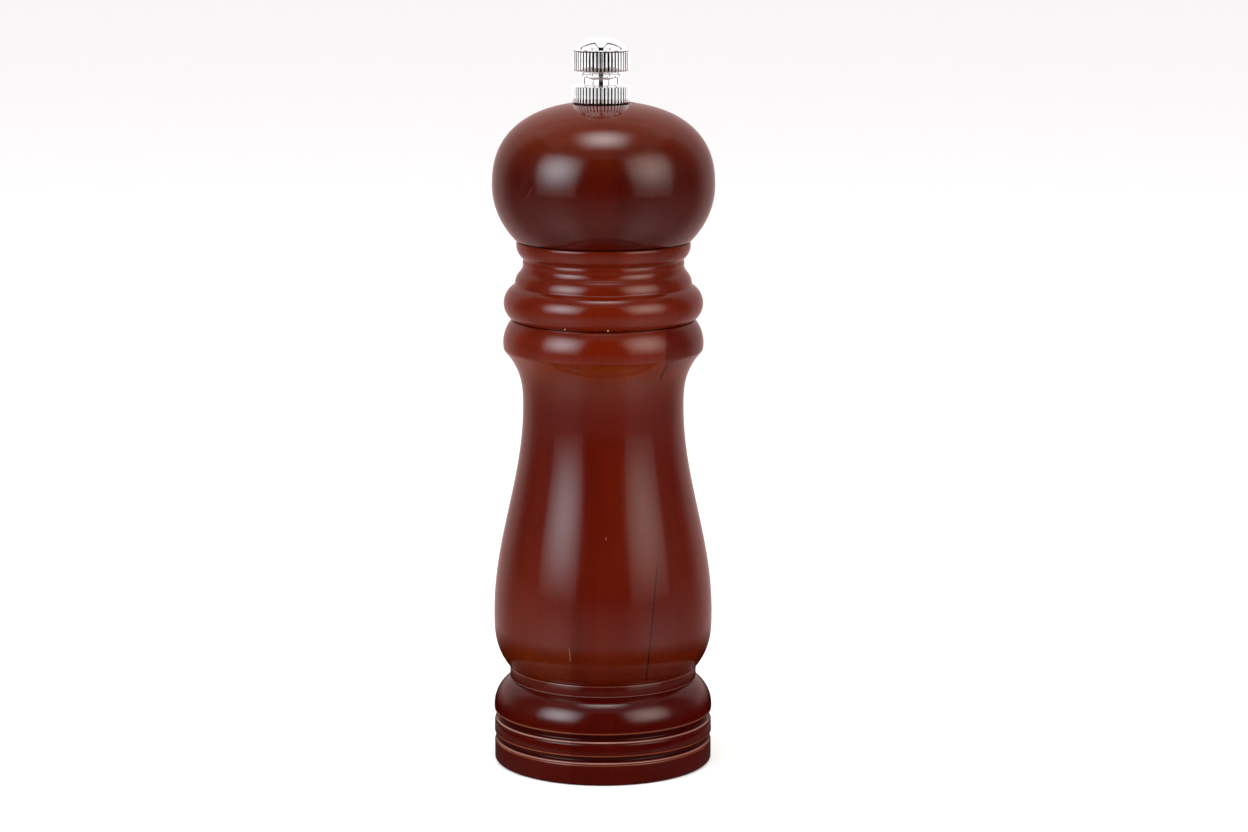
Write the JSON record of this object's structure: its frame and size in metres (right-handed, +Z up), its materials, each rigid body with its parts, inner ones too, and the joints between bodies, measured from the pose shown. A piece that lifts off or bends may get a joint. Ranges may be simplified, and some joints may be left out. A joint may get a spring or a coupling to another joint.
{
  "type": "pepper mill",
  "caption": "Turned wooden pepper mill: a ball head turns a square rod and a conical burr, and a knurled knob sets the fineness.",
  "frame": {"origin": "centre of the foot, on the surface that the mill stands on", "axes": "+Z up along the turning axis, from the foot to the knob; X along the retaining bar under the mill"},
  "size_m": [0.05, 0.05, 0.165],
  "materials": {
    "lacquered_wood": "stained, satin-gloss lacquer",
    "chrome": "polished",
    "brass": "turned",
    "steel": "zinc plated",
    "burr_steel": "hardened, phosphated",
    "dark_washer": "matt"
  },
  "bodies": {
    "body": {"body": "lacquered_wood", "stator": "burr_steel", "shaft_guide": "steel", "mill_holder": "steel", "holder_screw_1": "steel", "holder_screw_2": "steel", "retaining_bar": "steel", "bar_screw_1": "steel", "bar_screw_2": "steel"},
    "drive": {"thrust_washer": "steel", "spring": "steel"},
    "head": {"head": "lacquered_wood", "drive_plate": "steel", "drive_plate_screw_1": "steel", "drive_plate_screw_2": "steel"},
    "shaft": {"drive_shaft": "steel", "rotor": "burr_steel", "rotor_washer": "steel", "rotor_nut": "steel", "spring_cup": "steel"},
    "knob": {"adjusting_knob": "chrome", "knob_insert": "brass", "knob_washer": "dark_washer"}
  },
  "joints": [
    {"name": "grind_turn", "type": "hinge", "parent": "body", "child": "drive", "pos_m": [0, 0, 0.06], "axis": [0, 0, 1], "continuous": true},
    {"name": "head_lift", "type": "slide", "parent": "drive", "child": "head", "axis": [0, 0, 1], "range_m": [0, 0.075]},
    {"name": "grind_adjust", "type": "slide", "parent": "drive", "child": "shaft", "axis": [0, 0, 1], "range_m": [-0.00105, 0.00052], "deforming": ["spring"]},
    {"name": "knob_turn", "type": "hinge", "parent": "head", "child": "knob", "pos_m": [0, 0, 0.155], "axis": [0, 0, 1], "range_deg": [-270, 540]}
  ],
  "couplings": [
    {"joint": "knob_turn", "follows": "grind_adjust", "rad_per_m": -8976}
  ]
}
